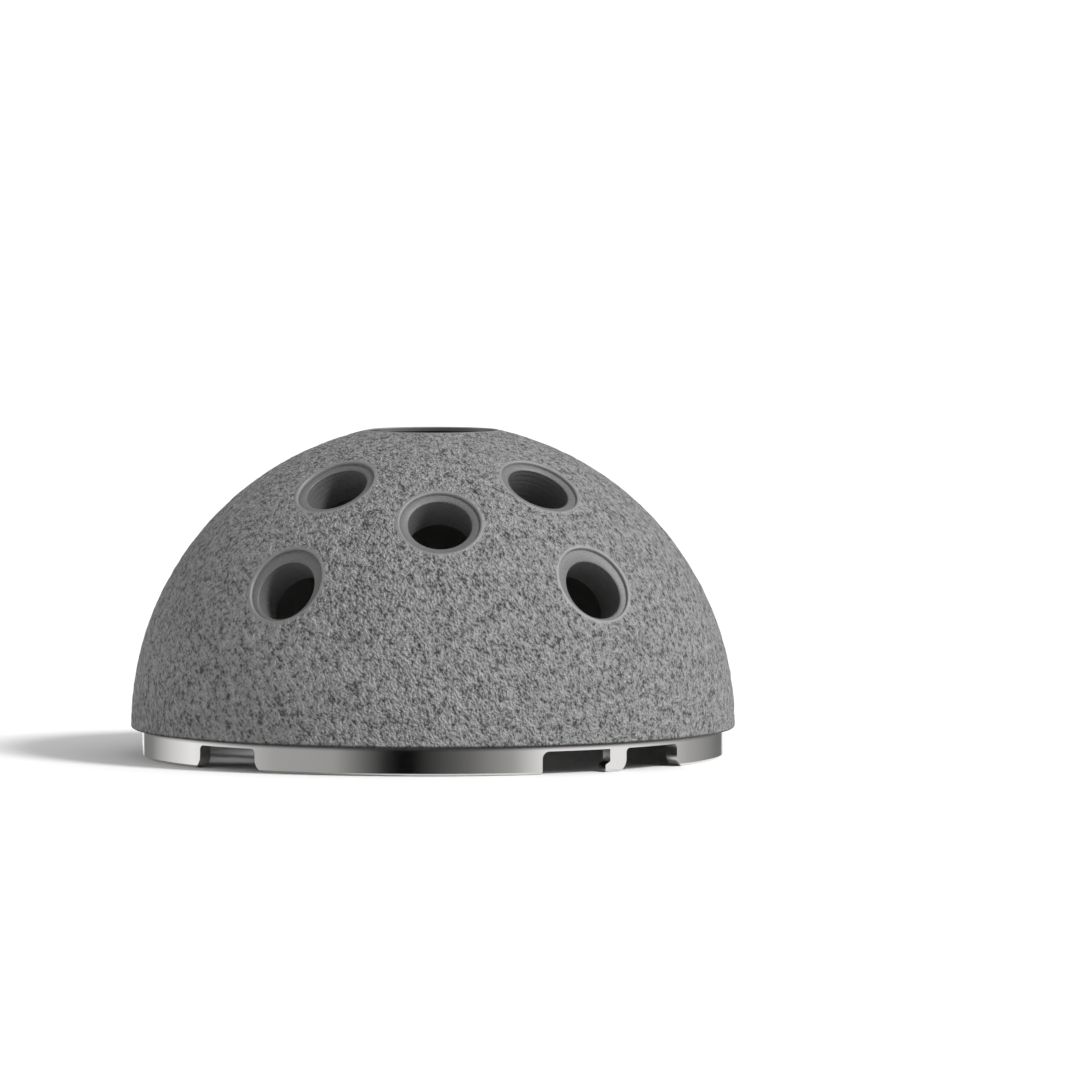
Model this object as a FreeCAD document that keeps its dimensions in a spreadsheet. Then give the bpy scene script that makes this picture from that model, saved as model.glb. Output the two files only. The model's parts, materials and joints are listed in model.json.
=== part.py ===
"""Acetabular cup of a hip prosthesis: machined metal shell with a sprayed porous coating.

Frame: the origin is the centre of the rim plane, +Z points to the apex, and the five screw
holes open towards -Y. Sizes are in millimetres and degrees.
"""
import FreeCAD, Part
import Sketcher
import math
import os

# Driving sizes, each written once
SIZES = {
    # Dome and coating
    "coat_radius": 32.0,          # outside of the porous coating, half of the cup's size
    "coat_thickness": 0.3,        # sprayed layer on the metal dome
    "centre_height": 3.25,        # centre of the dome above the rim plane
    "coat_foot_flat": 0.05,       # flat left under the coating, inside its rounded lower edge
    "coat_lip": 0.15,             # break on the coating's edge at the holes and the apex
    # Bare rim below the coating
    "rim_step": 1.2,              # the bare rim band stands in this far from the coating
    "rim_wall": 1.5,              # thickness of the rim at the notches
    "rim_chamfer": 0.25,          # break on the rim's two lower edges
    "band_height": 0.6,           # bare band left between the notches and the coating
    # Inside, where the liner fits
    "dome_wall": 4.7,             # metal between the inner and the outer dome
    "ledge_rise": 0.4,            # seat for the liner's flange, above the notches
    "taper_angle": 9.0,           # half angle of the locking taper
    "groove_rise": 0.9,           # lower edge of the locking ring's groove, above the seat
    "groove_width": 1.4,
    "groove_depth": 0.9,
    # Screw holes for 6.5 mm bone screws
    "screw_bore": 6.7,            # diameter of the through hole
    "screw_chamfer": 0.12,        # break between the spot face and the bore
    "spot_width": 0.78,           # bare flat ring from that break to the coating
    "spot_depth": 0.05,           # depth of the flat ring in the metal, at its outer edge
    "seat_width": 1.05,           # radial width of the cone inside, where the screw's head sits
    "seat_angle": 45.0,           # half angle of that cone
    "front_polar": 44.6,          # angle from the cup's axis to the single front hole
    "upper_polar": 35.0,          # angle to the upper pair
    "lower_polar": 60.3,          # angle to the lower pair
    "lower_lean": 0.9,            # the lower pair's spot faces lie this much nearer the apex
    "pair_turn": 36.0,            # turn of both pairs to each side of the front
    # Apex, where the inserter screws in
    "apex_bore": 12.4,            # thread's major diameter
    "apex_chamfer": 0.3,
    "land_width": 0.3,            # bare flat ring from that chamfer to the coating
    "land_drop": 0.1,             # the flat ring lies this far below the coating's edge
    # Notches in the rim, which key the liner and the instruments
    "notch_width": 8.1,
    "notch_height": 2.4,
    "notch_turn": 46.5,           # turn of the plain notches from the front and from the back
    "notch_corner": 0.5,          # rounding of a notch's two upper corners
    "notch_flare": 1.3,           # rounding of the rim's lower corners beside a plain notch
    # Hooked tab between the right plain notch and a notch of its own
    "tab_width": 2.2,
    "tab_notch_corner": 0.8,      # rounding of that notch's far upper corner
    "hook_reach": 0.6,            # how far the tab's barb stands into that notch
    "hook_tip": 0.75,             # height of the barb's tip above the rim plane
    "hook_slope": 0.35,           # rise of the barb's sloping flank above its tip
    "hook_round": 0.3,            # rounding of the barb's lower corner
}

OVERSHOOT = 1.0                   # how far a cutter runs past the metal that it removes
SAME_POINT = 1e-6                 # two sketch points closer than this are one corner
LEAST_CUT = 1e-3                  # volume in mm3 that every cut must at least remove

# Sizes worked out from the driving ones, as expressions on the sheet
DOME_CENTRE = ("0", "Sizes.centre_height")
METAL_RADIUS = "(Sizes.coat_radius - Sizes.coat_thickness)"
INNER_RADIUS = f"({METAL_RADIUS} - Sizes.dome_wall)"
FOOT_ROUND = "(Sizes.coat_thickness - Sizes.coat_foot_flat)"
RIM_RADIUS = "(Sizes.coat_radius - Sizes.rim_step)"
RIM_INNER = f"({RIM_RADIUS} - Sizes.rim_wall)"
COAT_EDGE = "(Sizes.notch_height + Sizes.band_height)"
LEDGE_HEIGHT = "(Sizes.notch_height + Sizes.ledge_rise)"
GROOVE_HEIGHT = f"({LEDGE_HEIGHT} + Sizes.groove_rise)"
TAPER_TOP_RADIUS = f"({INNER_RADIUS} * cos(Sizes.taper_angle))"
TAPER_TOP_HEIGHT = f"(Sizes.centre_height + {INNER_RADIUS} * sin(Sizes.taper_angle))"
BORE_RADIUS = "(Sizes.screw_bore / 2)"
SPOT_RADIUS = f"({BORE_RADIUS} + Sizes.screw_chamfer + Sizes.spot_width)"
SEAT_RADIUS = f"({BORE_RADIUS} + Sizes.seat_width)"
APEX_BORE_RADIUS = "(Sizes.apex_bore / 2)"
LAND_RADIUS = f"({APEX_BORE_RADIUS} + Sizes.apex_chamfer + Sizes.land_width)"
NOTCH_ANGLE = f"(2 * asin(Sizes.notch_width / 2 / {RIM_RADIUS}))"
TAB_ANGLE = f"(Sizes.tab_width / {RIM_RADIUS} * 1 rad)"
TAB_NOTCH_TURN = f"(Sizes.notch_turn * 1 deg - {NOTCH_ANGLE} - {TAB_ANGLE})"


def root(outer, offset):
    """Expression for the height of a sphere of radius outer at the distance offset from its axis."""
    return f"sqrt(({outer}) ^ 2 - ({offset}) ^ 2)"


def taper_radius(height):
    """Expression for the taper's radius at a height, tangent to the inner dome at its top."""
    return f"({TAPER_TOP_RADIUS} + ({TAPER_TOP_HEIGHT} - ({height})) * tan(Sizes.taper_angle))"


BROW_RADIUS = f"({LAND_RADIUS} + Sizes.coat_lip)"
BROW_HEIGHT = f"(Sizes.centre_height + {root('Sizes.coat_radius', BROW_RADIUS)})"
LAND_HEIGHT = f"({BROW_HEIGHT} - Sizes.land_drop)"
LAND_FOOT = f"(Sizes.centre_height + {root(METAL_RADIUS, LAND_RADIUS)})"
LIP_DISTANCE = f"({root('Sizes.coat_radius', f'{SPOT_RADIUS} + Sizes.coat_lip')} - Sizes.coat_lip)"
SPOT_DISTANCE = f"({root(METAL_RADIUS, SPOT_RADIUS)} - Sizes.spot_depth)"
SEAT_DISTANCE = root(INNER_RADIUS, SEAT_RADIUS)


def make_sheet(doc):
    """Put every driving size into its own cell, with its name as the alias."""
    sheet = doc.addObject("Spreadsheet::Sheet", "Sizes")
    for row, (name, size) in enumerate(SIZES.items(), start=1):
        sheet.set(f"A{row}", name)
        sheet.set(f"B{row}", str(size))
        sheet.setAlias(f"B{row}", name)
    doc.recompute()
    return sheet


def number(sheet, expression):
    """Value of an expression, as a plain number."""
    found = sheet.evalExpression(expression)
    return float(getattr(found, "Value", found))


def origin_plane(body, role):
    """One of the body's own origin planes, found by its role."""
    return next(item for item in body.Origin.OriginFeatures if item.Role == role)


def make_body(doc, label):
    body = doc.addObject("PartDesign::Body", label)
    body.Label = label
    body.Placement = FreeCAD.Placement()
    return body


def plane_sketch(body, name, placing):
    """Sketch on the body's upright plane, moved by an expression that holds a placement."""
    sketch = body.newObject("Sketcher::SketchObject", name)
    sketch.AttachmentSupport = [(origin_plane(body, "XZ_Plane"), "")]
    sketch.MapMode = "FlatFace"
    sketch.setExpression("AttachmentOffset", placing)
    return sketch


def meridian_sketch(body, name, turn, lean="0", rise="0"):
    """Sketch in the half plane that starts at the cup's axis, at a turn from the front.

    lean tips the sketch's vertical axis from the cup's axis and rise lifts its origin above
    the rim plane, so a hole's own profile is drawn as distance from and along its axis.
    """
    swing = f"rotationy({turn} - 90) * rotationz(0 - {lean})"
    return plane_sketch(body, name, f"placement(vector(0; {rise}; 0); {swing})")


def rim_sketch(body, name, turn):
    """Sketch seen from outside the rim, upright and square to the radius at a turn."""
    return plane_sketch(body, name, f"placement(vector(0; 0; 0); rotationy({turn}))")


def arc_about(centre, radius, start, end):
    """Shorter arc about a centre between two points, in the sketch's anticlockwise sense."""
    first, last = [math.atan2(point.y - centre.y, point.x - centre.x) for point in (start, end)]
    if (last - first) % (2 * math.pi) > math.pi:
        first, last = last, first
    return Part.ArcOfCircle(Part.Circle(centre, FreeCAD.Vector(0, 0, 1), radius), first, last)


def draw_outline(sketch, sheet, corners, arcs=None):
    """Draw a closed outline whose corners are pairs of expressions bound to the sheet.

    A side i runs from corner i to the next one. arcs gives, for the sides that are round, the
    radius and the centre as expressions.
    """
    def place(pair):
        return FreeCAD.Vector(number(sheet, pair[0]), number(sheet, pair[1]), 0)

    arcs = arcs or {}
    points = [place(corner) for corner in corners]
    ends = []
    for side, start in enumerate(points):
        end = points[(side + 1) % len(points)]
        if side in arcs:
            radius, centre = arcs[side]
            shape = arc_about(place(centre), number(sheet, radius), start, end)
        else:
            shape = Part.LineSegment(start, end)
        geometry = sketch.addGeometry(shape, False)
        first = 1 if (sketch.getPoint(geometry, 1) - start).Length < SAME_POINT else 2
        ends.append((geometry, first, 3 - first))
    for side, (geometry, first, last) in enumerate(ends):
        following, following_first, _ = ends[(side + 1) % len(ends)]
        sketch.addConstraint(Sketcher.Constraint("Coincident", geometry, last, following, following_first))
    for side, (geometry, first, _) in enumerate(ends):
        for axis, expression, value in zip("XY", corners[side], points[side]):
            rule = Sketcher.Constraint(f"Distance{axis}", -1, 1, geometry, first, value)
            name = f"corner_{side}_{axis.lower()}"
            sketch.renameConstraint(sketch.addConstraint(rule), name)
            sketch.setExpression(f"Constraints.{name}", expression)
    for side, (radius, _) in arcs.items():
        rule = Sketcher.Constraint("Radius", ends[side][0], number(sheet, radius))
        name = f"radius_{side}"
        sketch.renameConstraint(sketch.addConstraint(rule), name)
        sketch.setExpression(f"Constraints.{name}", radius)


def turned(body, kind, name, sketch):
    """Revolution or Groove of a sketch about its own vertical axis."""
    feature = body.newObject(f"PartDesign::{kind}", name)
    feature.Profile = sketch
    feature.ReferenceAxis = (sketch, ["V_Axis"])
    feature.Angle = 360
    body.Tip = feature
    return feature


def pocket(body, name, sketch, both_ways):
    """Cut a rim sketch outwards from the cup's axis, or to both sides of it."""
    feature = body.newObject("PartDesign::Pocket", name)
    feature.Profile = sketch
    feature.Type = "Length"
    if both_ways:
        feature.Midplane = True
        feature.setExpression("Length", f"2 * ({RIM_RADIUS} + {OVERSHOOT})")
    else:
        feature.Reversed = True
        feature.setExpression("Length", f"{RIM_RADIUS} + {OVERSHOOT}")
    body.Tip = feature
    return feature


def mirror_pair(body, name, originals):
    """Repeat features on the other side of the plane that runs from front to back."""
    feature = body.newObject("PartDesign::Mirrored", name)
    feature.Originals = originals
    feature.MirrorPlane = (origin_plane(body, "YZ_Plane"), [""])
    body.Tip = feature
    return feature


def profile_shell(body, sheet):
    """Half section of the machined shell: rim, liner seat, taper, groove, dome, apex and band."""
    groove_top = f"({GROOVE_HEIGHT} + Sizes.groove_width)"
    groove_floor = f"({taper_radius(GROOVE_HEIGHT)} + Sizes.groove_depth)"
    corners = [
        (f"{RIM_INNER} + Sizes.rim_chamfer", "0"),
        (RIM_INNER, "Sizes.rim_chamfer"),
        (RIM_INNER, LEDGE_HEIGHT),
        (taper_radius(LEDGE_HEIGHT), LEDGE_HEIGHT),
        (taper_radius(GROOVE_HEIGHT), GROOVE_HEIGHT),
        (groove_floor, GROOVE_HEIGHT),
        (groove_floor, groove_top),
        (taper_radius(groove_top), groove_top),
        (TAPER_TOP_RADIUS, TAPER_TOP_HEIGHT),
        (APEX_BORE_RADIUS, f"Sizes.centre_height + {root(INNER_RADIUS, APEX_BORE_RADIUS)}"),
        (APEX_BORE_RADIUS, f"{LAND_HEIGHT} - Sizes.apex_chamfer"),
        (f"{APEX_BORE_RADIUS} + Sizes.apex_chamfer", LAND_HEIGHT),
        (LAND_RADIUS, LAND_HEIGHT),
        (LAND_RADIUS, LAND_FOOT),
        (root(METAL_RADIUS, f"Sizes.centre_height - {COAT_EDGE}"), COAT_EDGE),
        (RIM_RADIUS, COAT_EDGE),
        (RIM_RADIUS, "Sizes.rim_chamfer"),
        (f"{RIM_RADIUS} - Sizes.rim_chamfer", "0"),
    ]
    sketch = meridian_sketch(body, "shell_section", "180")
    draw_outline(sketch, sheet, corners, {
        8: (INNER_RADIUS, DOME_CENTRE),
        13: (METAL_RADIUS, DOME_CENTRE),
    })
    return turned(body, "Revolution", "turned_shell", sketch)


def profile_coat(body, sheet):
    """Half section of the porous layer, from the bare rim to the flat ring at the apex."""
    below = f"Sizes.centre_height - {COAT_EDGE}"
    foot = root("Sizes.coat_radius", f"{below} - {FOOT_ROUND}")
    corners = [
        (root(METAL_RADIUS, below), COAT_EDGE),
        (f"{foot} - {FOOT_ROUND}", COAT_EDGE),
        (foot, f"{COAT_EDGE} + {FOOT_ROUND}"),
        (BROW_RADIUS, BROW_HEIGHT),
        (LAND_RADIUS, BROW_HEIGHT),
        (LAND_RADIUS, LAND_FOOT),
    ]
    sketch = meridian_sketch(body, "coat_section", "180")
    draw_outline(sketch, sheet, corners, {
        1: (FOOT_ROUND, (f"{foot} - {FOOT_ROUND}", f"{COAT_EDGE} + {FOOT_ROUND}")),
        2: ("Sizes.coat_radius", DOME_CENTRE),
        5: (METAL_RADIUS, DOME_CENTRE),
    })
    return turned(body, "Revolution", "sprayed_layer", sketch)


def cut_relief(body, sheet, name, turn, lean):
    """Opening in the coating round a screw hole, down to a bare flat spot face on the metal."""
    flare = f"Sizes.coat_lip + {OVERSHOOT}"
    outside = f"{LIP_DISTANCE} + {flare}"
    corners = [
        ("0", SPOT_DISTANCE),
        (SPOT_RADIUS, SPOT_DISTANCE),
        (SPOT_RADIUS, LIP_DISTANCE),
        (f"{SPOT_RADIUS} + {flare}", outside),
        ("0", outside),
    ]
    sketch = meridian_sketch(body, f"{name}_relief_section", turn, lean, "Sizes.centre_height")
    draw_outline(sketch, sheet, corners)
    return turned(body, "Groove", f"{name}_relief", sketch)


def cut_bore(body, sheet, name, turn, lean):
    """Screw hole: outer chamfer, straight bore and the cone inside for the screw's head."""
    inside, outside = f"{SEAT_DISTANCE} - {OVERSHOOT}", f"{SPOT_DISTANCE} + {OVERSHOOT}"
    corners = [
        ("0", inside),
        (SEAT_RADIUS, inside),
        (SEAT_RADIUS, SEAT_DISTANCE),
        (BORE_RADIUS, f"{SEAT_DISTANCE} + Sizes.seat_width / tan(Sizes.seat_angle)"),
        (BORE_RADIUS, f"{SPOT_DISTANCE} - Sizes.screw_chamfer"),
        (f"{BORE_RADIUS} + Sizes.screw_chamfer + {OVERSHOOT}", outside),
        ("0", outside),
    ]
    sketch = meridian_sketch(body, f"{name}_section", turn, lean, "Sizes.centre_height")
    draw_outline(sketch, sheet, corners)
    return turned(body, "Groove", name, sketch)


# The single front hole and the two holes of the right side: name, turn, bore's lean, relief's lean
HOLES = [
    ("front_hole", "0", "Sizes.front_polar", "Sizes.front_polar"),
    ("upper_hole", "Sizes.pair_turn", "Sizes.upper_polar", "Sizes.upper_polar"),
    ("lower_hole", "Sizes.pair_turn", "Sizes.lower_polar", "(Sizes.lower_polar - Sizes.lower_lean)"),
]


def cut_holes(body, sheet, through_metal):
    """Five screw holes: one in front and two pairs, each pair one hole and its mirror image."""
    paired = []
    for name, turn, bore_lean, relief_lean in HOLES:
        features = [cut_relief(body, sheet, name, turn, relief_lean)]
        if through_metal:
            features.append(cut_bore(body, sheet, name, turn, bore_lean))
        if turn != "0":
            paired += features
    mirror_pair(body, "left_holes", paired)


def notch_outline(sketch, sheet):
    """Plain notch: round upper corners, and the rim's lower corners flare out below it."""
    half, top = "Sizes.notch_width / 2", "Sizes.notch_height"
    corner, flare = "Sizes.notch_corner", "Sizes.notch_flare"
    below = f"0 - {OVERSHOOT}"
    right = [
        (f"{half} + {flare}", below),
        (f"{half} + {flare}", "0"),
        (half, flare),
        (half, f"{top} - {corner}"),
        (f"{half} - {corner}", top),
    ]
    left = [(f"0 - ({x})", y) for x, y in reversed(right)]
    draw_outline(sketch, sheet, right + left, {
        1: (flare, (f"{half} + {flare}", flare)),
        3: (corner, (f"{half} - {corner}", f"{top} - {corner}")),
        5: (corner, (f"{corner} - {half}", f"{top} - {corner}")),
        7: (flare, (f"0 - {half} - {flare}", flare)),
    })


def hook_outline(sketch, sheet):
    """Notch whose right wall is the barbed side of the hooked tab."""
    half, top, corner = "Sizes.notch_width / 2", "Sizes.notch_height", "Sizes.tab_notch_corner"
    tip, tip_round = f"({half} - Sizes.hook_reach)", "Sizes.hook_round"
    below = f"0 - {OVERSHOOT}"
    corners = [
        (f"{tip} + {tip_round}", below),
        (f"{tip} + {tip_round}", "0"),
        (tip, tip_round),
        (tip, "Sizes.hook_tip"),
        (half, "Sizes.hook_tip + Sizes.hook_slope"),
        (half, top),
        (f"{corner} - {half}", top),
        (f"0 - {half}", f"{top} - {corner}"),
        (f"0 - {half}", below),
    ]
    draw_outline(sketch, sheet, corners, {
        1: (tip_round, (f"{tip} + {tip_round}", tip_round)),
        6: (corner, (f"{corner} - {half}", f"{top} - {corner}")),
    })


def cut_notches(body, sheet):
    """Four plain notches, two of them mirror images, and the notch with the hooked tab."""
    plain_sketch = rim_sketch(body, "plain_notch_outline", "Sizes.notch_turn")
    notch_outline(plain_sketch, sheet)
    plain = pocket(body, "plain_notches", plain_sketch, both_ways=True)
    mirror_pair(body, "left_notches", [plain])
    hook_sketch = rim_sketch(body, "hook_notch_outline", TAB_NOTCH_TURN)
    hook_outline(hook_sketch, sheet)
    pocket(body, "hook_notch", hook_sketch, both_ways=False)


def make_shell(doc, sheet):
    body = make_body(doc, "metal_shell")
    profile_shell(body, sheet)
    cut_holes(body, sheet, through_metal=True)
    cut_notches(body, sheet)
    return body


def make_coat(doc, sheet):
    body = make_body(doc, "porous_coating")
    profile_coat(body, sheet)
    cut_holes(body, sheet, through_metal=False)
    return body


def check_cuts(body):
    """Stop if a cut took nothing away, because it then points away from the metal."""
    volume = None
    for feature in body.Group:
        if not hasattr(feature, "Shape") or feature.isDerivedFrom("Sketcher::SketchObject"):
            continue
        if volume is not None and feature.Shape.Volume > volume - LEAST_CUT:
            raise RuntimeError(f"{feature.Label} removes nothing from {body.Label}")
        volume = feature.Shape.Volume


def check_document(doc, bodies):
    """Stop before anything is written if an object failed or a shape isn't one sound solid."""
    failed = [item.Label for item in doc.Objects if {"Invalid", "Error"} & set(item.State)]
    if failed:
        raise RuntimeError("failed objects: " + ", ".join(failed))
    for body in bodies:
        shape = body.Shape
        if shape.isNull() or not shape.isValid() or len(shape.Solids) != 1:
            raise RuntimeError(f"{body.Label} isn't one valid solid")
        check_cuts(body)
        size = shape.optimalBoundingBox()
        extents = f"{size.XLength:.2f} x {size.YLength:.2f} x {size.ZLength:.2f} mm"
        print(f"{body.Label}: {shape.Volume:.1f} mm3, {extents}, {len(shape.Faces)} faces")


def main():
    doc = FreeCAD.newDocument("AcetabularCup")
    sheet = make_sheet(doc)
    bodies = [make_shell(doc, sheet), make_coat(doc, sheet)]
    doc.recompute()
    check_document(doc, bodies)
    os.makedirs("parts", exist_ok=True)
    for body in bodies:
        body.Shape.exportStep(f"parts/{body.Label}.step")


main()
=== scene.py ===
# %% [markdown]
# # The looks of an acetabular cup
# This lesson dresses the metal socket of a hip prosthesis: a titanium dome with a sprayed porous
# coat, five screw holes, a threaded hole at the apex and a bare turned rim. The solid model
# comes in as a fixed frame. It gives every place and size, so the lesson only adds finishes
# and the fine forms that a solid model leaves out.

# %% Load the frame
import itertools
import json
import math

import bmesh
import bpy
import numpy as np
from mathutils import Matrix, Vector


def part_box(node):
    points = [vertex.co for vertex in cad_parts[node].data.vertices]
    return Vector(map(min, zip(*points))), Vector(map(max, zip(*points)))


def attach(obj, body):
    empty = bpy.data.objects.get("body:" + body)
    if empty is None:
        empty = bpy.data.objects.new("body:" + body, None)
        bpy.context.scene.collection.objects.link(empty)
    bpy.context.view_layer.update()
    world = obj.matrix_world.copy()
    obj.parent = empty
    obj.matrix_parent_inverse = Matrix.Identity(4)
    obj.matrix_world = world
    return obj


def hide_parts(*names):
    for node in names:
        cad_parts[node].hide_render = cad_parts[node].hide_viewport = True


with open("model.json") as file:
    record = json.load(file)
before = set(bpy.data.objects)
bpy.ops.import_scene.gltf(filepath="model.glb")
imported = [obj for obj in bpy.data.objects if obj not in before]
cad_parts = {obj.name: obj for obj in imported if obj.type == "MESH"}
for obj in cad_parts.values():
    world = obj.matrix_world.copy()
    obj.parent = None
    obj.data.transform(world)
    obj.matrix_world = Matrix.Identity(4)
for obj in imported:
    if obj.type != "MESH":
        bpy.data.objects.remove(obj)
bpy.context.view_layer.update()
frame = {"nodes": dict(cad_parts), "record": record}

# %% [markdown]
# ## Sizes
# The record that comes with the frame names the cup's holes, with their places and radii, and
# the nodes' boxes give the outer sizes. The few other sizes here are the small steps round each
# opening in the coat, in millimetres. Lengths in the script are metres, as in Blender.

# %% Sizes from the frame
MM = 0.001
UP = np.array([0, 0, 1.0])
mounts = {mount["name"]: mount for mount in frame["record"]["mounts"]}
coat_low, coat_high = (np.array(corner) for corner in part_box("porous_coating"))
coat_radius = round((coat_high[0] - coat_low[0]) / 2, 5)
coat_foot = coat_low[2]
screw_radius = mounts["front_screw_hole"]["dims"]["r_mm"] * MM
apex_radius = mounts["apex_hole"]["dims"]["r_mm"] * MM
spot_ring = 0.9 * MM          # break and bare flat ring between a bore and the coat
land_ring = 0.6 * MM          # the same at the apex
coat_lip = 0.15 * MM          # break on the coat's edge
spot_depth = 0.05 * MM        # the flat ring's outer edge lies this deep in the metal
land_drop = 0.1 * MM          # the flat land at the apex lies this far below the coat's edge
foot_round = 0.25 * MM        # rounding of the coat's lower edge
rim_step = 1.2 * MM           # step from the coat in to the bare rim
lower_lean = math.radians(0.9)   # the lower rings lean this much from their bores to the apex
brow_radius = apex_radius + land_ring + coat_lip
dome_centre = np.array([0, 0, coat_high[2] - math.sqrt(coat_radius ** 2 - brow_radius ** 2)])
metal_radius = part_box("metal_shell")[1][0]
rim_radius = coat_radius - rim_step
print("coat radius", coat_radius, "dome centre", dome_centre.round(5),
      "coat foot", round(coat_foot, 5))

# %% [markdown]
# ## Camera
# A long lens from far off gives the flat perspective of a product picture. The camera stands a
# little to the left of the front hole and only just above the rim. Its direction is worked
# out from where the centre of the dome has to lie in the picture, so that nothing needs a shift.

# %% Camera
PICTURE = 1080
DOME_PIXEL = (433.0, 724.0)   # centre of the dome's round outline in the picture
DOME_PIXELS = 302.5           # its radius
EYE_DISTANCE, EYE_HEIGHT = 1.25, 0.092
EYE_TURN = math.radians(-1.9)
SENSOR = 36.0                 # width of the camera's film in Blender's millimetres

focal = DOME_PIXELS * EYE_DISTANCE / coat_radius
eye = np.array([math.sin(EYE_TURN) * EYE_DISTANCE, -math.cos(EYE_TURN) * EYE_DISTANCE, EYE_HEIGHT])
sight = dome_centre - eye
across = (DOME_PIXEL[0] - PICTURE / 2) / focal
down = (DOME_PIXEL[1] - PICTURE / 2) / focal
lift = sight[2] / np.linalg.norm(sight) * math.sqrt(1 + across ** 2 + down ** 2)
pitch = math.asin(lift / math.sqrt(1 + down ** 2)) + math.atan(down)
heading = (math.atan2(sight[0], sight[1])
           - math.atan2(across, math.cos(pitch) + down * math.sin(pitch)))

camera = bpy.data.objects.new("camera", bpy.data.cameras.new("camera"))
bpy.context.scene.collection.objects.link(camera)
camera.data.sensor_width = SENSOR
camera.data.lens = focal * SENSOR / PICTURE
camera.data.clip_start, camera.data.clip_end = 0.1, 100
camera.location = eye
camera.rotation_euler = (math.pi / 2 + pitch, 0, -heading)
bpy.context.scene.camera = camera
print("lens", round(camera.data.lens, 1), "mm, pitch", round(math.degrees(pitch), 2))

# %% [markdown]
# ## Helpers for finishes
# A finish is a small network of nodes. One function adds a node, sets its values and makes its
# links, so that a material reads as a list of steps. Another turns the hex colours that
# people pick on a screen into the linear light that the renderer works in.

# %% Node helpers
def linear(colour):
    """Linear red, green, blue and alpha of an sRGB colour such as "#808080"."""
    srgb = np.array([int(colour[at:at + 2], 16) for at in (1, 3, 5)]) / 255
    light = np.where(srgb <= 0.04045, srgb / 12.92, ((srgb + 0.055) / 1.055) ** 2.4)
    return (*light, 1.0)


def fill_ramp(elements, stops):
    """Give a ramp its stops, in rising order: a position and a hex colour or a brightness each."""
    elements[0].position, elements[1].position = stops[0][0], stops[-1][0]
    for position, _ in stops[1:-1]:
        elements.new(position)
    for element, (_, shade) in zip(elements, stops):
        element.color = linear(shade) if isinstance(shade, str) else (shade, shade, shade, 1)


def add(tree, kind, settings=None, **sockets):
    """Add a node: settings are its own properties, sockets are values, or (node, output) links.

    A socket is named by its label with underscores, or by in0, in1 and so on for its place. The
    setting called stops fills a colour ramp.
    """
    node = tree.nodes.new(kind)
    for name, value in (settings or {}).items():
        if name == "stops":
            fill_ramp(node.color_ramp.elements, value)
        else:
            setattr(node, name, value)
    for name, value in sockets.items():
        key = int(name[2:]) if name[:2] == "in" and name[2:].isdigit() else name.replace("_", " ")
        socket = node.inputs[key]
        if isinstance(value, tuple) and isinstance(value[0], bpy.types.Node):
            tree.links.new(value[0].outputs[value[1]], socket)
        elif isinstance(value, bpy.types.Node):
            tree.links.new(value.outputs[0], socket)
        else:
            socket.default_value = value
    return node


def new_material(name):
    """Empty node material and its tree."""
    material = bpy.data.materials.new(name)
    material.use_nodes = True
    material.node_tree.nodes.clear()
    return material, material.node_tree


print("the screen's middle grey #808080 as light:", round(linear("#808080")[0], 3))

# %% [markdown]
# ## Room and light
# Polished metal shows the room more than itself. So the room is drawn first: a world whose
# brightness depends on the direction only, like a white tent with a large soft roof, two soft
# boxes at the sides and a dark gap behind the camera. The same room lights the coat and the
# pale floor. A sun with a wide disc from the upper right adds the relief that shows the grain.

# %% World
# Each stop is a turn in degrees from the camera's side to the right, and a brightness.
ROOM = [(-180, 0.12), (-150, 0.28), (-128, 0.85), (-112, 1.20), (-90, 0.80), (-68, 0.50),
        (-42, 0.46), (-29, 0.175), (-21, 0.035), (-15, 0.004), (-10, 0.006), (-2, 0.065),
        (5, 0.12), (12, 0.18), (30, 0.46), (45, 1.15), (80, 1.15), (120, 0.50), (150, 0.22),
        (180, 0.12)]
ROOF = [(0.35, 1.0), (0.62, 1.05), (0.80, 0.72), (1.0, 0.42)]   # height as its sine, brightness
ROOF_FROM, ROOF_TO = 0.35, 0.65   # heights between which the roof fades in
ROOF_LEAN = 0.45              # how much more light the roof has to the right

world = bpy.data.worlds.new("studio")
bpy.context.scene.world = world
world.use_nodes = True
tree = world.node_tree
tree.nodes.clear()
place = add(tree, "ShaderNodeTexCoord")
direction = add(tree, "ShaderNodeSeparateXYZ", Vector=(place, "Generated"))
ahead = add(tree, "ShaderNodeMath", {"operation": "MULTIPLY"}, in0=(direction, "Y"), in1=-1.0)
turn = add(tree, "ShaderNodeMath", {"operation": "ARCTAN2"}, in0=(direction, "X"), in1=ahead)
around = add(tree, "ShaderNodeMapRange", in0=turn, in1=-math.pi, in2=math.pi)
room_stops = [((degrees + 180) / 360, brightness) for degrees, brightness in ROOM]
sides = add(tree, "ShaderNodeValToRGB", {"stops": room_stops}, Fac=around)
rise = add(tree, "ShaderNodeMapRange", {"interpolation_type": "SMOOTHSTEP"},
           in0=(direction, "Z"), in1=ROOF_FROM, in2=ROOF_TO)
crown = add(tree, "ShaderNodeValToRGB", {"stops": ROOF}, Fac=(direction, "Z"))
roof = add(tree, "ShaderNodeMath", {"operation": "MULTIPLY_ADD"},
           in0=(direction, "X"), in1=ROOF_LEAN, in2=crown)
light = add(tree, "ShaderNodeMix", {"data_type": "FLOAT"}, in0=rise, in2=sides, in3=roof)
background = add(tree, "ShaderNodeBackground", Color=(1, 1, 1, 1), Strength=light)
add(tree, "ShaderNodeOutputWorld", Surface=background)
bpy.context.scene.view_settings.view_transform = "Standard"
print("room stops", len(ROOM))

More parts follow.
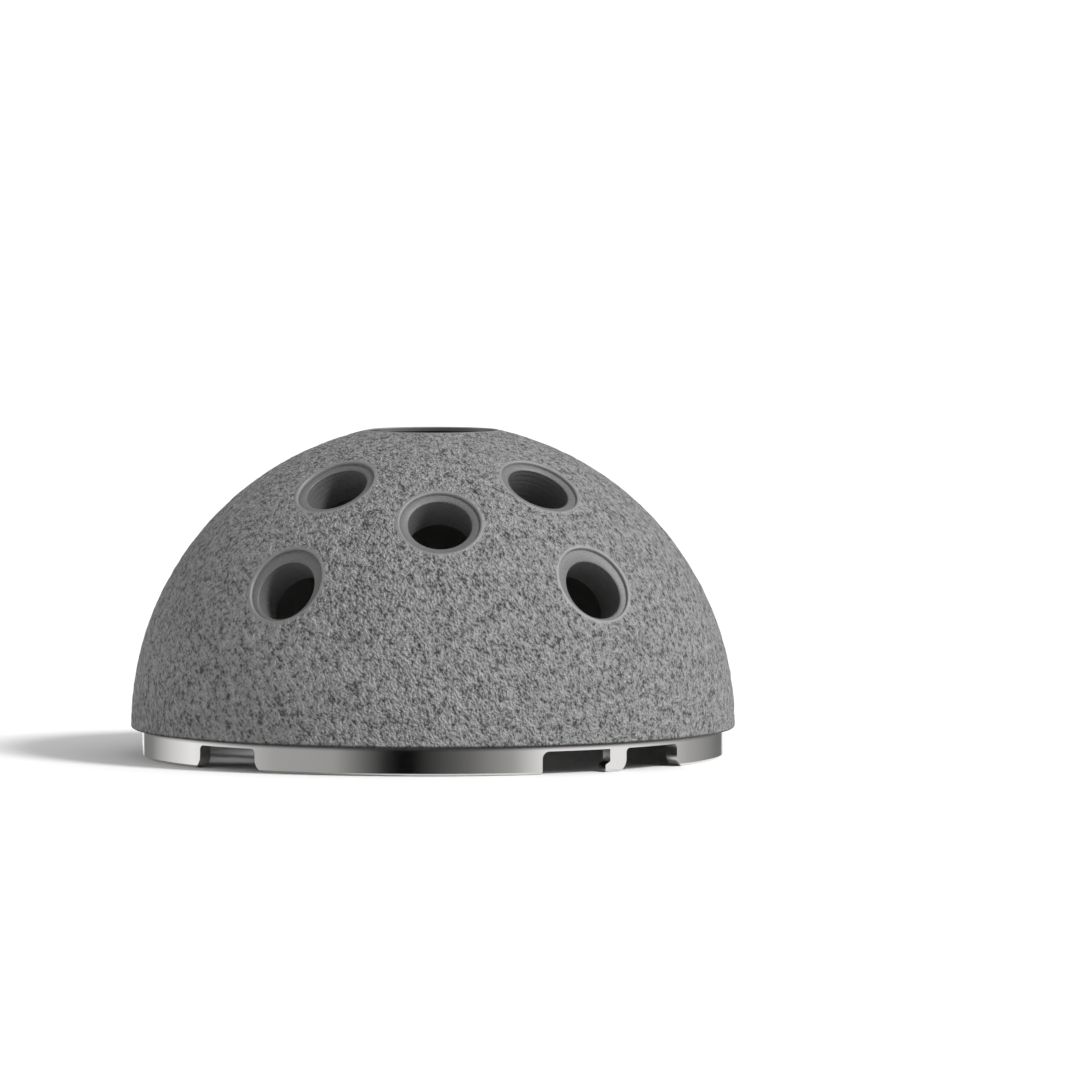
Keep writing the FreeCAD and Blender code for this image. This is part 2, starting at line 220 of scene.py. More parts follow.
# %% Sun
SUN_TURN, SUN_RISE = math.radians(58), math.radians(42)   # from the front to the right, and up
SUN_STRENGTH, SUN_DISC = 2.9, math.radians(12)            # a wide disc casts soft shadows
sun = bpy.data.objects.new("sun", bpy.data.lights.new("sun", "SUN"))
bpy.context.scene.collection.objects.link(sun)
sun.data.energy = SUN_STRENGTH
sun.data.angle = SUN_DISC
sun.rotation_euler = (math.pi / 2 - SUN_RISE, 0, SUN_TURN)
print("sun", round(math.degrees(SUN_TURN)), "deg right,", round(math.degrees(SUN_RISE)), "deg up")

# %% [markdown]
# ## Floor
# The floor is a plain pale disc that reaches past the horizon of the picture. It is a grid of
# rings, closer together near the cup, and its finish is matt paint with a very faint mottle.

# %% Mesh helpers
def quads(rows, columns, closed=False):
    """Corner indices of the quads between neighbours in a grid numbered row by row.

    A closed grid joins its last column to its first one.
    """
    row, column = np.meshgrid(np.arange(rows - 1), np.arange(columns - (not closed)), indexing="ij")
    here, beside = row * columns + column, row * columns + (column + 1) % columns
    return np.stack([here, beside, beside + columns, here + columns], axis=-1).reshape(-1, 4)


def new_piece(name, points, faces, material):
    """Mesh object at the origin from arrays of points and of quads, smooth shaded."""
    mesh = bpy.data.meshes.new(name)
    mesh.vertices.add(len(points))
    mesh.vertices.foreach_set("co", np.asarray(points, dtype=np.float32).ravel())
    mesh.loops.add(faces.size)
    mesh.loops.foreach_set("vertex_index", faces.ravel().astype(np.int32))
    mesh.polygons.add(len(faces))
    mesh.polygons.foreach_set("loop_start", np.arange(len(faces), dtype=np.int32) * faces.shape[1])
    mesh.update(calc_edges=True)
    mesh.validate()
    mesh.shade_smooth()
    mesh.materials.append(material)
    piece = bpy.data.objects.new(name, mesh)
    bpy.context.scene.collection.objects.link(piece)
    return piece


print("quads in a grid of 3 by 4 points:", len(quads(3, 4)))

# %% Floor
FLOOR_REACH = 14.0
FLOOR_RINGS, FLOOR_SPOKES = 40, 96
FIRST_RING = 0.01             # radius of the innermost ring
FLOOR_DROP = 0.02 * MM        # the floor lies this much below the rim, so that they don't flicker
MOTTLES = 9.0                 # faint clouds of the paint in a metre

paint, tree = new_material("matt_white_paint")
place = add(tree, "ShaderNodeTexCoord")
mottle = add(tree, "ShaderNodeTexNoise", Vector=(place, "Object"), Scale=MOTTLES, Detail=3.0)
tone = add(tree, "ShaderNodeMix", {"data_type": "RGBA"},
           in0=mottle, in6=linear("#E9E9E9"), in7=linear("#EDEDED"))
shader = add(tree, "ShaderNodeBsdfPrincipled", Base_Color=(tone, 2), Roughness=0.9,
             Specular_IOR_Level=0.0)
add(tree, "ShaderNodeOutputMaterial", Surface=shader)
reach = np.concatenate([[0], np.geomspace(FIRST_RING, FLOOR_REACH, FLOOR_RINGS)])
swing = np.linspace(0, 2 * math.pi, FLOOR_SPOKES, endpoint=False)
disc = np.stack([np.outer(reach, np.cos(swing)), np.outer(reach, np.sin(swing)),
                 np.full((len(reach), len(swing)), -FLOOR_DROP)], axis=-1)
upwards = quads(*disc.shape[:2], closed=True)[:, ::-1]
floor = new_piece("floor", disc.reshape(-1, 3), upwards, paint)
print("floor", FLOOR_REACH, "m")

# %% [markdown]
# ## Porous coat: the form
# Titanium powder, melted in a plasma flame, builds up the coat grain by grain. Bone grows into
# its pores. Plugs kept it off the screw holes, and there the coat has a calm edge.
#
# A hemisphere with round openings could be a ball with holes cut by booleans, but those leave
# ragged borders. Here a square sheet of cells is laid over the dome instead. Square rings of
# the sheet become circles round the apex, and round each screw hole the cells slide outwards
# until a square gap in the sheet is a round opening. Every cell stays about as large as the next.

# %% Sheet of cells over the dome
CELLS = 288                   # cells along one side of the sheet
SHEET_TURN = math.radians(-27)   # keeps the creases along the sheet's diagonals off the holes
foot_polar = math.acos((coat_foot + foot_round - dome_centre[2]) / coat_radius)
brow_polar = math.asin(brow_radius / coat_radius)
brow_ring = round(CELLS / 2 * brow_polar / foot_polar)

def direction_of(polar, turn):
    """Unit vectors at an angle from the cup's axis and a turn from the front to the right."""
    return np.stack([np.sin(polar) * np.sin(turn), -np.sin(polar) * np.cos(turn),
                     np.cos(polar) * np.ones_like(turn)], axis=-1)


def sheet_turn(u, v):
    """Turn of a sheet point: it grows evenly along its square ring, by 45 degrees to a corner."""
    flat = np.abs(u) >= np.abs(v)      # on the two sides of the ring that the u axis crosses
    safe_u, safe_v = np.where(u == 0, 1, u), np.where(v == 0, 1, v)
    by_u = math.pi / 4 * v / safe_u + math.pi * (u < 0)
    by_v = math.pi / 2 - math.pi / 4 * u / safe_v + math.pi * (v < 0)
    return np.where(flat, by_u, by_v)


steps = np.arange(-CELLS // 2, CELLS // 2 + 1)
u, v = np.meshgrid(steps, steps, indexing="ij")
ring = np.maximum(np.abs(u), np.abs(v))
polar = brow_polar + (ring - brow_ring) / (CELLS / 2 - brow_ring) * (foot_polar - brow_polar)
sheet = direction_of(np.maximum(polar, 0), sheet_turn(u, v) + SHEET_TURN)
gone = ring < brow_ring       # points inside the apex opening
print("cells", CELLS ** 2, "apex ring", brow_ring,
      "foot at", round(math.degrees(foot_polar), 2), "deg")

# %% [markdown]
# A square gap is left in the sheet at each hole. A point near the hole keeps its direction from
# the hole's axis, and its distance slides outwards: at the gap it becomes the opening's radius, and
# at a fixed distance it stays as it was. No two points change places on the way, so nothing folds.

# %% Openings for the screws
GAP = 9                       # half size, in cells, of the gap for a hole
STILL = math.radians(12.2)    # points that are further than this from a hole's axis don't move
lip_polar = math.asin((screw_radius + spot_ring + coat_lip) / coat_radius)

def relief_axis(mount):
    """Unit axis of a hole's opening in the coat, pointing outwards."""
    axis = -np.array(mount["axis"])
    lean = math.acos(axis[2]) - (lower_lean if "lower" in mount["name"] else 0)
    return direction_of(lean, np.array(math.atan2(axis[0], -axis[1])))


def cross_axes(axis):
    """Two unit vectors square to an axis and to each other."""
    first = np.cross(axis, [1.0, 0, 0])
    first /= np.linalg.norm(first)
    return first, np.cross(axis, first)


openings = []
for mount in mounts.values():
    if not mount["name"].endswith("screw_hole"):
        continue
    axis = relief_axis(mount)
    row, column = np.unravel_index(np.argmax(sheet @ axis), u.shape)
    reach = np.maximum(np.abs(u - u[row, column]), np.abs(v - v[row, column]))
    at_gap = reach == GAP
    first, second = cross_axes(axis)
    swing = np.arctan2(sheet @ second, sheet @ first)[..., None]
    away = np.arccos(np.clip(sheet @ axis, -1, 1))[..., None]
    steep = np.interp(swing, swing[at_gap][:, 0], 1 / np.tan(away[at_gap][:, 0]),
                      period=2 * math.pi)
    square = np.arctan(1 / steep)      # distance of the gap's border in each direction
    slid = STILL - (STILL - away) * (STILL - lip_polar) / (STILL - square)
    moved = np.cos(slid) * axis + np.sin(slid) * (np.cos(swing) * first + np.sin(swing) * second)
    sheet = np.where((reach >= GAP)[..., None] & (away < STILL), moved, sheet)
    gone |= reach < GAP
    openings.append({"axis": axis, "bore": -np.array(mount["axis"]), "row": row, "column": column})
print("openings:", len(openings), "with a lip at", round(math.degrees(lip_polar), 2), "deg")

# %% [markdown]
# ## Porous coat: the grain
# The coarse part of the grain is real relief in the mesh, so that it shows on the outline and
# in raking light. It is value noise: random heights on a cubic lattice, blended smoothly
# between. The finer part comes later as bump in the finish. Near an opening the relief fades.

# %% Relief of the coat
LATTICE = 64                  # size of the random table, which repeats past that many cells
# Each layer of the grain has a height, a size and the seed of its random table.
GRAINS = [(0.03 * MM, 1.1 * MM, 1), (0.05 * MM, 0.62 * MM, 2), (0.02 * MM, 3.5 * MM, 3)]
SINK = 0.03 * MM              # the whole grain lies this much lower, inside the solid's outline
BARE, CALM = 0.1 * MM, 0.35 * MM   # distances from an opening between which the grain sets in
FOOT_CALM = 0.5 * MM          # the same at the foot, where it sets in from the edge on

def value_noise(points, cell, seed):
    """Noise from -1 to 1: a point blends the random heights at the corners of its lattice cell."""
    heights = np.random.default_rng(seed).uniform(-1, 1, (LATTICE,) * 3)
    corner = np.floor(points / cell).astype(int)
    part = points / cell - corner
    part = part * part * (3 - 2 * part)
    total = np.zeros(points.shape[:-1])
    for offset in itertools.product((0, 1), repeat=3):
        weight = np.prod(np.where(offset, part, 1 - part), axis=-1)
        at = (corner + offset) % LATTICE
        total += weight * heights[at[..., 0], at[..., 1], at[..., 2]]
    return total


def smooth_step(value, low, high):
    """0 below low, 1 above high, and a smooth cubic between."""
    part = np.clip((value - low) / (high - low), 0, 1)
    return part * part * (3 - 2 * part)


from_apex = np.arccos(np.clip(sheet[..., 2], -1, 1))
edge_distance = coat_radius * (from_apex - brow_polar)
for opening in openings:
    away = np.arccos(np.clip(sheet @ opening["axis"], -1, 1)) - lip_polar
    edge_distance = np.minimum(edge_distance, coat_radius * away)
grain = smooth_step(edge_distance, BARE, CALM)
relief = grain * smooth_step(coat_radius * (foot_polar - from_apex), 0, FOOT_CALM)

surface = dome_centre + coat_radius * sheet
height = sum(tall * value_noise(surface, cell, seed) for tall, cell, seed in GRAINS)
surface = surface + (relief * (height - SINK))[..., None] * sheet
print("relief from", (relief * height).min().round(6), "to", (relief * height).max().round(6))

# %% [markdown]
# The edges come last. Each one is a profile that is carried along the border of the sheet: over
# a small round lip and down a short wall into the metal, or round the foot at the rim.

# %% Edges of the coat
BURY = 0.06 * MM              # the walls end this deep in the metal
COVER = 0.03 * MM             # and stand this far over the flat rings, to hide the rings' edges
APEX_COVER = 0.08 * MM        # the same at the apex, where the flat land is higher up the lip
QUARTER = np.linspace(0, math.pi / 2, 5)[1:]   # angles along a quarter round
side = CELLS + 1
middle = CELLS // 2
numbers = np.arange(side * side).reshape(side, side)

def border(row, column, half):
    """Point numbers along a square of the sheet, in order round it."""
    square = numbers[row - half:row + half + 1, column - half:column + half + 1]
    return np.concatenate([square[0, :-1], square[:-1, -1], square[-1, :0:-1], square[:0:-1, 0]])


def lip_profile(radius, wall, bottom):
    """Distances from the axis and heights along it: a quarter round of the lip, then the wall."""
    top = math.sqrt(coat_radius ** 2 - radius ** 2)
    distance = wall + (radius - wall) * (1 - np.sin(QUARTER))
    rise = top - (radius - wall) * (1 - np.cos(QUARTER))
    return np.append(distance, wall), np.append(rise, bottom)


def carry(loop, axis, distance, rise):
    """Profile points swept round an axis through the dome's centre, one column per border point."""
    first, second = cross_axes(axis)
    out = surface.reshape(-1, 3)[loop] - dome_centre
    swing = np.arctan2(out @ second, out @ first)
    spoke = np.cos(swing)[:, None] * first + np.sin(swing)[:, None] * second
    return dome_centre + rise[:, None, None] * axis + distance[:, None, None] * spoke


def strip(loop, points, start):
    """Quads from a border through the rows of points, which are numbered from start."""
    below = start + np.arange(points.shape[0] * len(loop)).reshape(points.shape[:2])
    rows = np.vstack([loop, below])
    return rows.ravel()[quads(*rows.shape, closed=True)]


edges = []
for opening in openings:
    wall = screw_radius + spot_ring - COVER
    spot = math.sqrt(metal_radius ** 2 - wall ** 2) - spot_depth
    profile = lip_profile(wall + COVER + coat_lip, wall, spot - BURY)
    loop = border(opening["row"], opening["column"], GAP)
    edges.append((loop, carry(loop, opening["axis"], *profile)))

wall = apex_radius + land_ring - APEX_COVER
land = coat_high[2] - dome_centre[2] - land_drop
loop = border(middle, middle, brow_ring)
edges.append((loop, carry(loop, UP, *lip_profile(brow_radius, wall, land - BURY))))

foot_reach = coat_radius * math.sin(foot_polar)
distance = np.append(foot_reach - foot_round * (1 - np.cos(QUARTER)), metal_radius - BURY)
rise = np.append(coat_foot + foot_round * (1 - np.sin(QUARTER)), coat_foot) - dome_centre[2]
loop = border(middle, middle, middle)[::-1]
edges.append((loop, carry(loop, UP, distance, rise)))
print("edge strips:", len(edges))

# %% Join the sheet and its edges
FOOT_ZONE = 1 * MM            # only the foot's edge starts this close above the dome's centre
points, grains = [surface.reshape(-1, 3)], [grain.ravel()]
sheet_faces = quads(side, side)
faces = [sheet_faces[~gone.ravel()[sheet_faces].any(axis=1)]]
start = side * side
for loop, rows in edges:
    count = rows.shape[0] * rows.shape[1]
    faces.append(strip(loop, rows, start))
    points.append(rows.reshape(-1, 3))
    at_foot = rows[0, 0, 2] < dome_centre[2] + FOOT_ZONE
    grains.append(np.full(count, 1.0 if at_foot else 0.0))
    start += count
points, faces, grains = np.concatenate(points), np.concatenate(faces), np.concatenate(grains)
used, faces = np.unique(faces, return_inverse=True)
points, grains, faces = points[used], grains[used], faces.reshape(-1, 4)[:, ::-1]
walks = np.stack([faces, np.roll(faces, -1, axis=1)], axis=-1).reshape(-1, 2)
assert len(np.unique(walks, axis=0)) == len(walks), "two faces run the same way along an edge"
print("coat:", len(points), "points,", 2 * len(faces), "triangles")

# %% [markdown]
# ## Porous coat: the finish
# The finish is sprayed titanium: metal, but so rough that it looks like dry grey stone. Splats of
# about 0.6 mm lie over each other, with dark pits of about 0.25 mm between, and gather in clumps of
# 2 mm. Each of the three is a noise of that size. The first two make the bump, drawn out a little
# in the direction of the spray, and their sum with the clumps darkens the pits, where less light
# comes out of the pores. The rounded foot bends down into the shade over the rim, and that shade
# is painted in as a darker colour.

# %% Sprayed titanium
PIT, SPLAT, CLUMP = 0.25 * MM, 0.6 * MM, 2.0 * MM
STREAK = 1.35                 # the pits are this much longer in the direction of the spray
SPRAY = (0, math.pi / 4, -math.pi / 4)   # turns from the X axis to that direction
SPLAT_PART, CLUMP_PART = 0.8, 0.12       # how much these two count beside the pits
DEEP, HIGH = 0.47, 1.45       # sums of the three noises that are darkest and brightest
COARSE = 0.5 * MM             # height of the bump, which is far less where the grain fades
CALM_BUMP = 0.05
FOOT_SHADE = (coat_foot + 0.02 * MM, coat_foot + 0.3 * MM)   # heights between which the painted shade on the coat's foot ends
PIT_STOPS = [(0.0, "#262626"), (0.28, "#464646"), (0.43, "#747474"), (0.6, "#898989"),
             (1.0, "#A6A6A6")]
sprayed, tree = new_material("plasma_sprayed_titanium")
place = add(tree, "ShaderNodeTexCoord")
amount = add(tree, "ShaderNodeAttribute", {"attribute_name": "grain"})
drawn = add(tree, "ShaderNodeMapping", {"vector_type": "TEXTURE"}, Vector=(place, "Object"),
            Rotation=SPRAY, Scale=(STREAK, 1, 1))
pores = add(tree, "ShaderNodeTexNoise", Vector=drawn, Scale=1 / PIT, Detail=1.5, Roughness=0.6)
splats = add(tree, "ShaderNodeTexNoise", Vector=drawn, Scale=1 / SPLAT, Detail=1.0)
clumps = add(tree, "ShaderNodeTexNoise", Vector=(place, "Object"), Scale=1 / CLUMP, Detail=2.0)
mound = add(tree, "ShaderNodeMath", {"operation": "MULTIPLY_ADD"},
            in0=splats, in1=SPLAT_PART, in2=pores)
rough = add(tree, "ShaderNodeMath", {"operation": "MULTIPLY_ADD"},
            in0=clumps, in1=CLUMP_PART, in2=mound)
shade = add(tree, "ShaderNodeMapRange", in0=rough, in1=DEEP, in2=HIGH)
pits = add(tree, "ShaderNodeValToRGB", {"stops": PIT_STOPS}, Fac=shade)
grey = add(tree, "ShaderNodeMix", {"data_type": "RGBA"},
           in0=(amount, "Fac"), in6=linear("#7E7E7E"), in7=pits)
spot = add(tree, "ShaderNodeSeparateXYZ", Vector=(place, "Object"))
above_foot_shade = add(tree, "ShaderNodeMapRange", {"interpolation_type": "SMOOTHSTEP"},
               in0=(spot, "Z"), in1=FOOT_SHADE[0], in2=FOOT_SHADE[1])
# Painted shade: the coat's foot, at the bottom of its rounding, is drawn nearly black, #1C1C1C.
tone = add(tree, "ShaderNodeMix", {"data_type": "RGBA"},
           in0=above_foot_shade, in6=linear("#1C1C1C"), in7=(grey, 2))
strength = add(tree, "ShaderNodeMapRange", in0=(amount, "Fac"), in3=CALM_BUMP, in4=1.0)
bump = add(tree, "ShaderNodeBump", Height=mound, Strength=strength, Distance=COARSE)
shader = add(tree, "ShaderNodeBsdfPrincipled", Base_Color=(tone, 2), Metallic=0.35, Roughness=0.6,
             Normal=bump)
add(tree, "ShaderNodeOutputMaterial", Surface=shader)
print("sprayed titanium: nodes", len(tree.nodes))

# %% Piece of the coat
def values_of(items, name, width=3, kind=np.float32):
    """What each point, corner, edge or face of a mesh holds under a name: a row or a value each."""
    values = np.zeros(width * len(items), dtype=kind)
    items.foreach_get(name, values)
    return values.reshape(-1, width) if width > 1 else values


coat = new_piece("porous_coat", points, faces, sprayed)
grain_of_point = coat.data.attributes.new("grain", "FLOAT", "POINT")
grain_of_point.data.foreach_set("value", grains.astype(np.float32))
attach(coat, "root")
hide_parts("porous_coating")
from_centre = values_of(coat.data.polygons, "center") - dome_centre
outward = (from_centre * values_of(coat.data.polygons, "normal")).sum(axis=1)
print("share of faces that point outwards:", (outward > 0).mean().round(3))

# %% [markdown]
# ## Metal shell
# The shell is turned from a titanium alloy bar: polished on the bare rim, finely turned inside,
# and blasted on and round the screw holes. The solid model's own mesh is loose triangles, so a
# merged copy takes its place, with soft shading over round faces and sharp edges where faces meet.

# %% Merged copy of the shell
SHARP = math.radians(24)      # edges that bend more than this are kept hard
TOUCH = 0.001 * MM            # points closer than this are one

def merged_copy(node, name):
    """Copy of a node with its doubled points joined, and edges sharper than SHARP kept hard."""
    mesh = node.data.copy()
    mesh.name = name
    work = bmesh.new()
    work.from_mesh(mesh)
    bmesh.ops.remove_doubles(work, verts=work.verts, dist=TOUCH)
    work.to_mesh(mesh)
    work.free()
    mesh.materials.clear()
    mesh.shade_smooth()
    mesh.set_sharp_from_angle(angle=SHARP)
    piece = bpy.data.objects.new(name, mesh)
    bpy.context.scene.collection.objects.link(piece)
    return piece


shell = merged_copy(frame["nodes"]["metal_shell"], "turned_shell")
print("shell:", len(shell.data.polygons), "faces")

# %% [markdown]
# The bores and the flat rings round them were blasted with glass beads together with the dome,
# before the coat was sprayed. Such a face scatters light nearly as a stone does, and faint marks
# of the drill still run round a bore. Its triangles are found by their place and direction: a ring
# looks along its hole's axis, and a bore's wall looks across it.
#
# The flat rings meet the dome at a small angle, and soft shading would bend them towards it. So
# their borders are marked sharp, like that of the flat land at the apex, which looks straight up.

# %% Blasted faces
RING_EDGE = 0.05 * MM         # a face whose middle is this close to the ring's edge is the dome's
ACROSS = -0.01                # a bore's wall looks square to its axis, give or take rounding
STRAIGHT_UP = 0.9999          # upward part of the normal of a level face

def from_axis(out, axis):
    """Distances of points along an axis through the dome's centre, and away from it."""
    along = out @ axis
    return along, np.linalg.norm(out - along[:, None] * axis, axis=1)


def blasted_faces(mesh):
    """Which faces lie in a hole's ring or bore and look out along its axis or across it."""
    out = values_of(mesh.polygons, "center") - dome_centre
    normals = values_of(mesh.polygons, "normal")
    chosen = np.zeros(len(out), dtype=bool)
    for opening in openings:
        along, away = from_axis(out, opening["axis"])
        inside = away < screw_radius + spot_ring - RING_EDGE
        chosen |= inside & (along > 0) & (normals @ opening["bore"] > ACROSS)
    return chosen


def harden_border(mesh, chosen):
    """Mark the edges between chosen triangles and the others as sharp, so that flats shade flat."""
    edges = values_of(mesh.loops, "edge_index", 1, np.int32)
    sharp = values_of(mesh.edges, "use_edge_sharp", 1, bool)
    sharp |= np.bincount(edges, weights=chosen.repeat(3), minlength=len(sharp)) == 1
    mesh.edges.foreach_set("use_edge_sharp", sharp)


def bore_depth(mesh):
    """Each point's distance from the dome's centre along the axis of the hole it belongs to."""
    out = values_of(mesh.vertices, "co") - dome_centre
    depth = np.zeros(len(out))
    for opening in openings:
        along, away = from_axis(out, opening["bore"])
        depth = np.where((away < screw_radius + 2 * spot_ring) & (along > 0), along, depth)
    return depth


on_blasted = blasted_faces(shell.data)
harden_border(shell.data, on_blasted)
harden_border(shell.data, values_of(shell.data.polygons, "normal")[:, 2] > STRAIGHT_UP)
depth_of_point = shell.data.attributes.new("bore_depth", "FLOAT", "POINT")
depth_of_point.data.foreach_set("value", bore_depth(shell.data))
print("blasted faces:", int(on_blasted.sum()))

# %% Blasted titanium
BEAD = 0.12 * MM              # dent that a glass bead leaves, drawn coarser than the real 0.05 mm
DRILL = 0.45 * MM             # spacing of the drill's marks, drawn coarser than the real 0.1 mm
DRILL_PART = 3.0              # how much the marks count beside the dents
blasted, tree = new_material("bead_blasted_titanium")
place = add(tree, "ShaderNodeTexCoord")
depth = add(tree, "ShaderNodeAttribute", {"attribute_name": "bore_depth"})
dents = add(tree, "ShaderNodeTexNoise", Vector=(place, "Object"), Scale=1 / BEAD, Detail=1.0)
drill = add(tree, "ShaderNodeTexNoise", {"noise_dimensions": "1D"},
            W=(depth, "Fac"), Scale=1 / DRILL, Detail=2.0)
tone = add(tree, "ShaderNodeValToRGB", {"stops": [(0.35, "#606060"), (0.65, "#707070")]}, Fac=dents)
height = add(tree, "ShaderNodeMath", {"operation": "MULTIPLY_ADD"},
             in0=drill, in1=DRILL_PART, in2=dents)
bump = add(tree, "ShaderNodeBump", Height=height, Strength=0.5, Distance=0.03 * MM)
shader = add(tree, "ShaderNodeBsdfPrincipled", Base_Color=tone, Metallic=0.4, Roughness=0.6,
             Normal=bump)
add(tree, "ShaderNodeOutputMaterial", Surface=shader)
print("blasted titanium: nodes", len(tree.nodes))

# %% [markdown]
# The band of the rim is the one polished face. Its shading is tipped up a few degrees, and more at
# the far sides, as on a band that is turned a little conical, so that it mirrors the room's sides
# and not the floor. The corner normals of its faces are worked out from the round form, which also
# hides facets.

# %% Normals of the rim band
TIP, SIDE_TIP = math.radians(7), math.radians(10)
SIDE_FROM = 0.85              # the far sides start at this part of the radius to the left and right
ON_CYLINDER = 0.01 * MM       # points closer than this to the rim's radius lie on it

def tip_band(mesh):
    """Corner normals of the faces on the rim's cylinder: the radial direction, tipped up.

    The tip is TIP all round and grows by SIDE_TIP at the far left and right.
    """
    place = values_of(mesh.vertices, "co")[values_of(mesh.loops, "vertex_index", 1, np.int32)]
    normals = values_of(mesh.corner_normals, "vector")
    away = np.hypot(place[:, 0], place[:, 1])
    on_rim = np.abs(away - rim_radius) < ON_CYLINDER
    on_band = on_rim.reshape(-1, 3).all(axis=1).repeat(3)
    radial = np.stack([place[:, 0] / away, place[:, 1] / away, np.zeros(len(away))], axis=-1)
    tip = TIP + SIDE_TIP * smooth_step(np.abs(radial[:, 0]), SIDE_FROM, 1.0)
    tipped = np.cos(tip)[:, None] * radial + np.sin(tip)[:, None] * UP
    normals[on_band] = tipped[on_band]
    mesh.normals_split_custom_set(normals)
    return int(on_band.sum()) // 3


print("band faces:", tip_band(shell.data))

# %% [markdown]
# Turning leaves fine rings round the axis. They spread a reflection across them, which is what
# the anisotropy of the shader does with a tangent that runs round the axis. Very fine rings
# are also drawn as a weak change of roughness, coarser than the real tool marks. The top of the
# polished band lies in the shade of the coat's overhang. That shade is painted in as a dark colour,
# and the strip is also rougher. The metal round the apex hole is smoother than the inside, and
# the shade in the opening is painted in as a darker colour.

# %% Turned titanium
SHADE_BELOW_COAT = 0.55 * MM         # painted shade darkens the rim this far below the coat, which is rougher there too
RINGS = 0.12 * MM             # spacing of the drawn tool marks; the real ones are about 0.03 mm
CLOUD = 4 * MM                # size of the soft patches where the polish varies
RIM_INSIDE = 29.2 * MM        # every face further out than this is the rim's or the dome's
FADE = 0.1 * MM               # width over which one finish gives way to the next
POLISHED, TOP_ROUGH = 0.04, 0.25        # roughness of the band, and of its top under the painted shade
APEX_SATIN, SATIN = 0.25, 0.50       # roughness round the apex hole, and inside the cup
RING_PART, CLOUD_PART = 0.06, 0.04   # how much the tool marks and the soft patches add to it
turned, tree = new_material("turned_titanium")
place = add(tree, "ShaderNodeTexCoord")
spot = add(tree, "ShaderNodeSeparateXYZ", Vector=(place, "Object"))
flat_place = add(tree, "ShaderNodeCombineXYZ", X=(spot, "X"), Y=(spot, "Y"))
radius = add(tree, "ShaderNodeVectorMath", {"operation": "LENGTH"}, in0=flat_place)
ring_place = add(tree, "ShaderNodeCombineXYZ", X=(radius, "Value"), Z=(spot, "Z"))
marks = add(tree, "ShaderNodeTexNoise", Vector=ring_place, Scale=1 / RINGS, Detail=2.0)
cloud = add(tree, "ShaderNodeTexNoise", Vector=(place, "Object"), Scale=1 / CLOUD, Detail=2.0)
on_rim = add(tree, "ShaderNodeMapRange",
             in0=(radius, "Value"), in1=RIM_INSIDE, in2=RIM_INSIDE + FADE)
below = add(tree, "ShaderNodeMapRange",
            in0=(spot, "Z"), in1=coat_foot + 1.5 * FADE, in2=coat_foot + 0.5 * FADE)
rim = add(tree, "ShaderNodeMath", {"operation": "MULTIPLY"}, in0=on_rim, in1=below)
band_shade = add(tree, "ShaderNodeMapRange", {"interpolation_type": "SMOOTHSTEP"}, in0=(spot, "Z"),
           in1=coat_foot - SHADE_BELOW_COAT, in2=coat_foot)
# Painted shade: the band's top, under the coat's overhang, fades to a dark #444342.
band = add(tree, "ShaderNodeMix", {"data_type": "RGBA"},
           in0=band_shade, in6=linear("#D2D1CF"), in7=linear("#444342"))
gloss = add(tree, "ShaderNodeMix", {"data_type": "FLOAT"}, in0=band_shade, in2=POLISHED, in3=TOP_ROUGH)
off_apex = add(tree, "ShaderNodeMapRange",
               in0=(radius, "Value"), in1=brow_radius, in2=brow_radius + FADE)
# Painted shade: the metal round the apex opening is drawn darker, #626160 instead of #8A8987.
inside = add(tree, "ShaderNodeMix", {"data_type": "RGBA"},
             in0=off_apex, in6=linear("#626160"), in7=linear("#8A8987"))
tone = add(tree, "ShaderNodeMix", {"data_type": "RGBA"}, in0=rim, in6=(inside, 2), in7=(band, 2))
satin = add(tree, "ShaderNodeMix", {"data_type": "FLOAT"},
            in0=off_apex, in2=APEX_SATIN, in3=SATIN)
base = add(tree, "ShaderNodeMix", {"data_type": "FLOAT"}, in0=rim, in2=satin, in3=gloss)
jitter = add(tree, "ShaderNodeMath", {"operation": "MULTIPLY_ADD"},
             in0=marks, in1=RING_PART, in2=base)
roughness = add(tree, "ShaderNodeMath", {"operation": "MULTIPLY_ADD"},
                in0=cloud, in1=CLOUD_PART, in2=jitter)
bump = add(tree, "ShaderNodeBump", Height=marks, Strength=0.25, Distance=0.004 * MM)
tangent = add(tree, "ShaderNodeTangent", {"direction_type": "RADIAL", "axis": "Z"})
shader = add(tree, "ShaderNodeBsdfPrincipled", Base_Color=(tone, 2), Metallic=1.0,
             Roughness=roughness, Anisotropic=0.4, Normal=bump, Tangent=tangent)
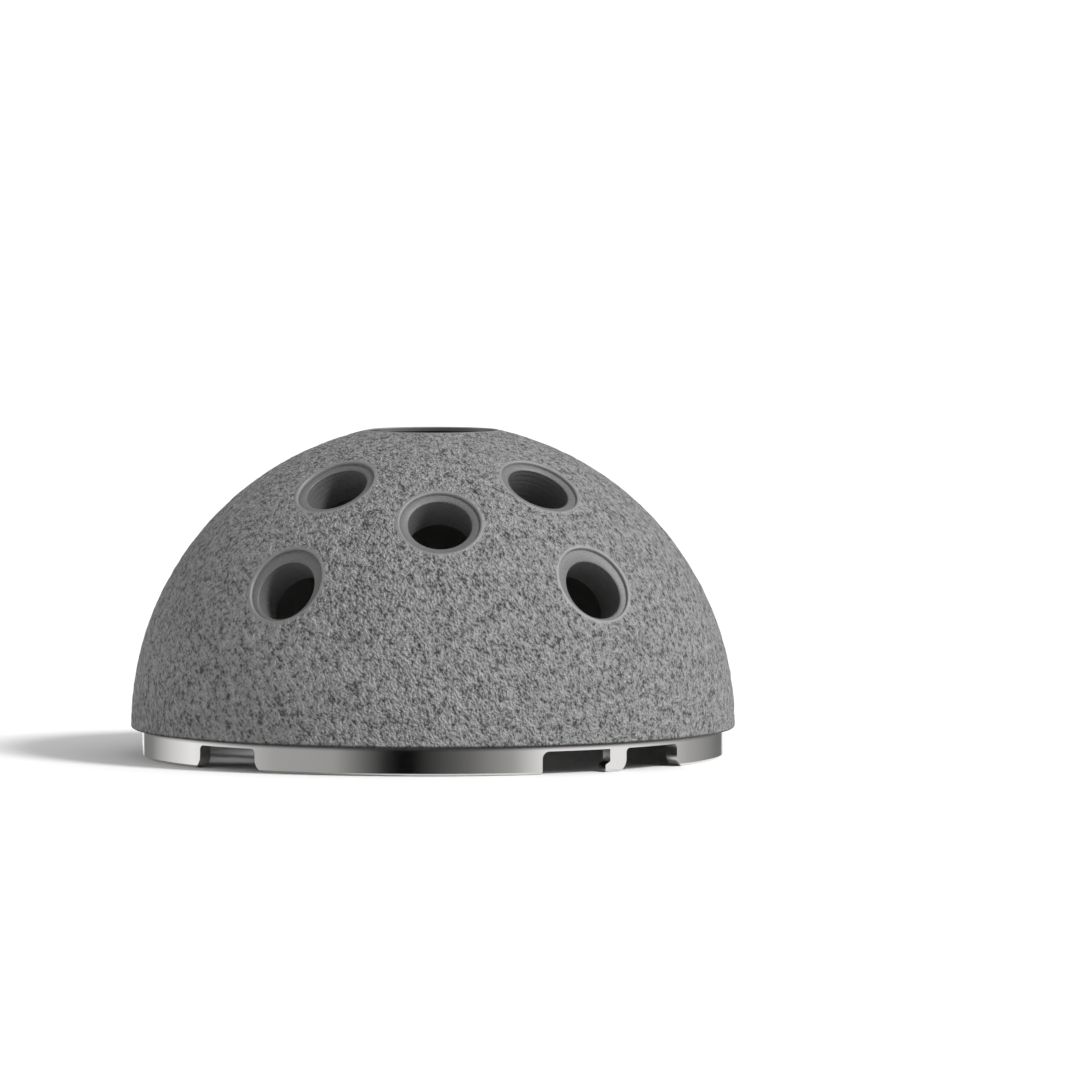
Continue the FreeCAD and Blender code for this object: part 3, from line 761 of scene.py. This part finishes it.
add(tree, "ShaderNodeOutputMaterial", Surface=shader)
print("turned titanium: nodes", len(tree.nodes))

# %% Finishes on the shell
shell.data.materials.append(turned)
shell.data.materials.append(blasted)
shell.data.polygons.foreach_set("material_index", on_blasted.astype(np.int32))
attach(shell, "root")
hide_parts("metal_shell")
print("finishes on", shell.name + ":", [material.name for material in shell.data.materials])

# %% [markdown]
# ## Thread in the apex hole
# The surgeon's inserter screws into the apex hole from inside. Its thread is a ridge that winds
# up the bore: a flat-topped profile carried along a helix, which runs out into the wall at both
# ends.

# %% Apex thread
PITCH, DEPTH = 1.0 * MM, 0.42 * MM
CREST, FLANK = 0.16 * MM, 0.42 * MM   # width of the ridge's top, and half its width at the wall
ROOT = 0.06 * MM              # the ridge's foot lies this deep in the wall
SPREAD = 0.04 * MM            # and is this much wider there, on each side
TURN_STEPS = 96               # steps in one turn
RUN_OUT = 0.35                # part of a turn over which the ridge rises from the wall
THIN = 0.25                   # its width where it starts, as a part of its full width
PLAIN = 1.1 * MM              # length of bore that has no thread, both ends together
apex = mounts["apex_hole"]
thread_length = apex["dims"]["length_mm"] * MM - PLAIN
start_height = apex["pos_m"][2] - thread_length / 2
turns = thread_length / PITCH
along = np.linspace(0, 1, round(turns * TURN_STEPS))
swing = 2 * math.pi * turns * along
full = smooth_step(np.minimum(along, 1 - along) * turns, 0, RUN_OUT)[:, None]
inward = np.array([-ROOT, 0, DEPTH, DEPTH, 0, -ROOT])
upward = np.array([-FLANK - SPREAD, -FLANK, -CREST / 2, CREST / 2, FLANK, FLANK + SPREAD])
radius = apex_radius - np.where(inward > 0, inward, 0) * full + np.where(inward < 0, ROOT, 0)
rise = start_height + PITCH * turns * along[:, None] + upward * (THIN + (1 - THIN) * full)
helix = np.stack([radius * np.cos(swing)[:, None], radius * np.sin(swing)[:, None], rise], axis=-1)
thread = new_piece("apex_thread", helix.reshape(-1, 3), quads(*helix.shape[:2]), turned)
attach(thread, "root")
print("thread:", round(turns, 1), "turns,", 2 * len(thread.data.polygons), "triangles")
